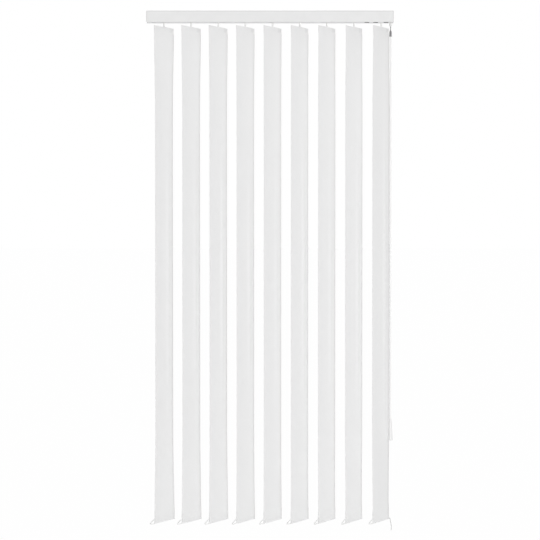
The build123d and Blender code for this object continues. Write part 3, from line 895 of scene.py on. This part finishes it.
class BLIND_OT_tail(bpy.types.Operator):
    """Make the loose end of the bottom chain on the last vane"""

    bl_idname = "blind.tail"
    bl_label = "Chain tail"

    # The route outwards and upwards from the lug
    route = (
        (0, 0),
        (0.0044, 0),
        (0.0084, -0.0016),
        (0.0115, -0.0048),
        (0.0132, -0.0089),
        (0.0175, -0.020),
        (0.0215, -0.031),
        (0.0248, -0.0415),
        (0.0253, -0.050),
        (0.024, -0.057),
        (0.0223, -0.062),
    )

    def execute(self, context):
        settings = context.scene.blind
        tail = settings.tail
        place, _top, bottom = vane_place(settings.vane, vane_total)
        lug = bottom + tail.lug_rise
        points = [place @ Vector((tail.lug_reach + out, 0, lug + up)) for out, up in self.route]
        curve = bpy.data.curves.new("chain_tail_cord", "CURVE")
        curve.dimensions = "3D"
        curve.resolution_u = 16
        spline = curve.splines.new("NURBS")
        spline.points.add(len(points) - 1)
        for spot, point in zip(spline.points, points):
            spot.co = (*point, 1)
        spline.order_u = 3
        spline.use_endpoint_u = True
        cord = bpy.data.objects.new("chain_tail_cord", curve)
        context.scene.collection.objects.link(cord)
        line = bpy.data.meshes.new_from_object(cord)
        walk = [vert.co.copy() for vert in line.vertices]
        bpy.data.meshes.remove(line)
        curve.bevel_depth = tail.cord / 2
        curve.bevel_resolution = 3
        curve.use_fill_caps = True
        material = moulded_finish(
            "chain plastic", settings.finish.chain, roughness=0.3, grain=2500.0, Coat_Weight=0.2
        )
        curve.materials.append(material)
        body = f"vane_{vane_total}"
        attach(cord, body)
        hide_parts("chain_tail")
        beads = new_piece("chain_tail_beads", self.beads(walk, tail), material, body)
        return {"FINISHED"}

    def beads(self, walk, tail):
        """Beads at even steps along the cord."""
        bm = bmesh.new()
        radius = tail.bead / 2
        due = radius
        gone = 0
        for before, after in zip(walk, walk[1:]):
            step = (after - before).length
            while due <= gone + step:
                spot = before.lerp(after, (due - gone) / step)
                made = bmesh.ops.create_uvsphere(bm, u_segments=14, v_segments=10, radius=radius)["verts"]
                bmesh.ops.translate(bm, vec=spot, verts=made)
                due += tail.pitch
            gone += step
        return to_mesh(bm, "chain_tail_beads", True)


class BLIND_OT_finishes(bpy.types.Operator):
    """Give the rail, the carriers, the weights and the wand their finishes"""

    bl_idname = "blind.finishes"
    bl_label = "Finishes"

    def execute(self, context):
        finish = context.scene.blind.finish
        self.rail(finish)
        self.carriers(finish)
        self.wand(finish)
        return {"FINISHED"}

    def rail(self, finish):
        """The rail and what is fixed to it or turns in it."""
        finish_node(rail_finish(finish), "head_rail")
        cap = moulded_finish("white cap plastic", finish.cap, roughness=0.42, grain=1800.0)
        finish_node(cap, "end_cap_left", "end_cap_right")
        # Painted shade: dark pads stand in for the shade inside the rail seen from below.
        pad = moulded_finish(
            "dark pad painted_slot_shade", finish.dark, roughness=0.85, grain=900.0, depth=0.00006, darkest=0.75
        )
        finish_node(pad, "rail_pads")
        clip = drawn_finish(
            "plated clip steel",
            finish.metal,
            roughness=0.35,
            stretch=(1.0, 40.0, 40.0),
            metallic=1.0,
            lines=60.0,
        )
        finish_node(clip, "mounting_clips")
        rod = drawn_finish(
            "drawn tilt rod", finish.metal, roughness=0.3, stretch=(0.02, 1.0, 1.0), metallic=1.0
        )
        finish_node(rod, "tilt_rod")

    def carriers(self, finish):
        """The carriers, their gears and stems, and the weights in the vanes."""
        carrier = moulded_finish("carrier plastic", finish.carrier, roughness=0.5, grain=1600.0)
        finish_node(carrier, *each("carrier"))
        gear = moulded_finish("gear plastic", finish.carrier, roughness=0.4, grain=2200.0)
        finish_node(gear, "drive_gear", *each("worm"))
        stem = moulded_finish(
            "milky stem plastic", finish.milky, roughness=0.3, grain=2000.0, Coat_Weight=0.15
        )
        finish_node(stem, "wand_stem", *each("stem"))
        weight = moulded_finish("white weight plastic", finish.white, roughness=0.35)
        finish_node(weight, *each("weight"))

    def wand(self, finish):
        """The wand from its hook to its grip."""
        hook = drawn_finish(
            "dark hook wire",
            finish.dark,
            roughness=0.32,
            stretch=(1.0, 1.0, 0.05),
            metallic=1.0,
            lines=1500.0,
        )
        finish_node(hook, "wand_hook")
        ferrule = moulded_finish("dark ferrule", finish.ferrule, roughness=0.45, grain=1800.0, darkest=0.8)
        finish_node(ferrule, "wand_ferrule")
        rod = drawn_finish(
            "white wand plastic",
            finish.wand,
            roughness=0.28,
            stretch=(1.0, 1.0, 0.01),
            lines=700.0,
            darkest=0.97,
        )
        finish_node(rod, "wand_rod")
        grip = moulded_finish("white grip plastic", finish.white, roughness=0.36, grain=1200.0)
        finish_node(grip, "wand_grip")


class BLIND_OT_stage(bpy.types.Operator):
    """Set up the camera, the floor and the light"""

    bl_idname = "blind.stage"
    bl_label = "Stage"

    def execute(self, context):
        scene = context.scene
        stage = scene.blind.stage
        scene.view_settings.view_transform = "Standard"
        self.camera(scene, stage)
        self.floor(scene, stage)
        self.world(scene, stage)
        reach = Vector((sin(stage.lamp_side), -cos(stage.lamp_side), 0)) * stage.distance
        self.lamp(scene, "front_lamp", stage.key, stage.lamp_width, reach)
        self.lamp(scene, "back_lamp", stage.back, stage.lamp_width, -reach)
        return {"FINISHED"}

    def camera(self, scene, stage):
        """A nearly level camera in front of the blind."""
        lens = bpy.data.cameras.new("camera")
        lens.sensor_width = 36
        lens.lens = lens.sensor_width * stage.distance / stage.field
        lens.shift_y = stage.shift
        camera = bpy.data.objects.new("camera", lens)
        camera.location = (0, -stage.distance, stage.eye)
        camera.rotation_euler = (pi / 2 - stage.pitch, 0, 0)
        scene.collection.objects.link(camera)
        scene.camera = camera

    def floor(self, scene, stage):
        """A pale floor that is all but white to the camera."""
        bm = bmesh.new()
        bmesh.ops.create_grid(bm, x_segments=1, y_segments=1, size=stage.floor_size / 2)
        bmesh.ops.translate(bm, vec=(0, 0, stage.floor), verts=bm.verts)
        floor = bpy.data.objects.new("floor", to_mesh(bm, "floor", False))
        scene.collection.objects.link(floor)
        material, tree, shader = new_finish("pale floor", 0.7)
        shader.inputs["Base Color"].default_value = (*stage.floor_colour, 1)
        glow = add_node(tree, "ShaderNodeEmission", Strength=1.0)
        part = add_math(tree, "MULTIPLY", self.backdrop_rays(tree), stage.floor_glow)
        self.blend(tree, part, shader.outputs["BSDF"], glow.outputs["Emission"], "Material Output")
        floor.data.materials.append(material)

    def world(self, scene, stage):
        """Even light, and white where the camera, a reflection or a see-through piece looks past it all."""
        world = bpy.data.worlds.new("studio")
        world.use_nodes = True
        tree = world.node_tree
        light = tree.nodes["Background"]
        light.inputs["Color"].default_value = (1, 1, 1, 1)
        light.inputs["Strength"].default_value = stage.world
        white = add_node(tree, "ShaderNodeBackground", Color=(1, 1, 1, 1), Strength=1.0)
        rays = self.backdrop_rays(tree)
        self.blend(tree, rays, light.outputs["Background"], white.outputs["Background"], "World Output")
        scene.world = world

    def backdrop_rays(self, tree):
        """1 for the rays that see the backdrop as white."""
        path = add_node(tree, "ShaderNodeLightPath")
        seen = add_math(tree, "MAXIMUM", path.outputs["Is Camera Ray"], path.outputs["Is Glossy Ray"])
        return add_math(tree, "MAXIMUM", seen, path.outputs["Is Transmission Ray"])

    def blend(self, tree, share, first, second, output):
        """Put a blend of two shaders on an output's surface."""
        mix = add_node(tree, "ShaderNodeMixShader")
        tree.links.new(share, mix.inputs["Fac"])
        tree.links.new(first, mix.inputs[1])
        tree.links.new(second, mix.inputs[2])
        tree.links.new(mix.outputs["Shader"], tree.nodes[output].inputs["Surface"])

    def lamp(self, scene, name, strength, width, reach):
        """A broad far lamp that lights all vanes alike, with no hard shadow of one on the next."""
        light = bpy.data.lights.new(name, "SUN")
        light.energy = strength
        light.angle = width
        light.use_shadow = False
        lamp = bpy.data.objects.new(name, light)
        lamp.location = reach
        lamp.rotation_euler = (-reach).to_track_quat("-Z", "Y").to_euler()
        scene.collection.objects.link(lamp)


class BLIND_PT_panel(bpy.types.Panel):
    """The blind's pieces and settings"""

    bl_idname = "BLIND_PT_panel"
    bl_label = "Vertical blind"
    bl_space_type = "VIEW_3D"
    bl_region_type = "UI"
    bl_category = "Blind"

    def draw(self, context):
        blind = context.scene.blind
        groups = (
            (BLIND_OT_stage, blind.stage),
            (BLIND_OT_vanes, blind.vane),
            (BLIND_OT_seams, blind.seam),
            (BLIND_OT_tail, blind.tail),
            (BLIND_OT_finishes, blind.finish),
        )
        for operator, group in groups:
            box = self.layout.box()
            box.operator(operator.bl_idname)
            for name in group.__annotations__:
                box.prop(group, name)


classes = (
    VaneSettings,
    SeamSettings,
    TailSettings,
    FinishSettings,
    StageSettings,
    BlindSettings,
    BLIND_OT_stage,
    BLIND_OT_vanes,
    BLIND_OT_seams,
    BLIND_OT_tail,
    BLIND_OT_finishes,
    BLIND_PT_panel,
)


def register():
    for cls in classes:
        bpy.utils.register_class(cls)
    bpy.types.Scene.blind = PointerProperty(type=BlindSettings)


def unregister():
    del bpy.types.Scene.blind
    for cls in reversed(classes):
        bpy.utils.unregister_class(cls)


def main():
    register()
    bpy.ops.blind.stage()
    bpy.ops.blind.tail()
    bpy.ops.blind.vanes()
    bpy.ops.blind.seams()
    bpy.ops.blind.finishes()


if __name__ == "__main__":
    main()
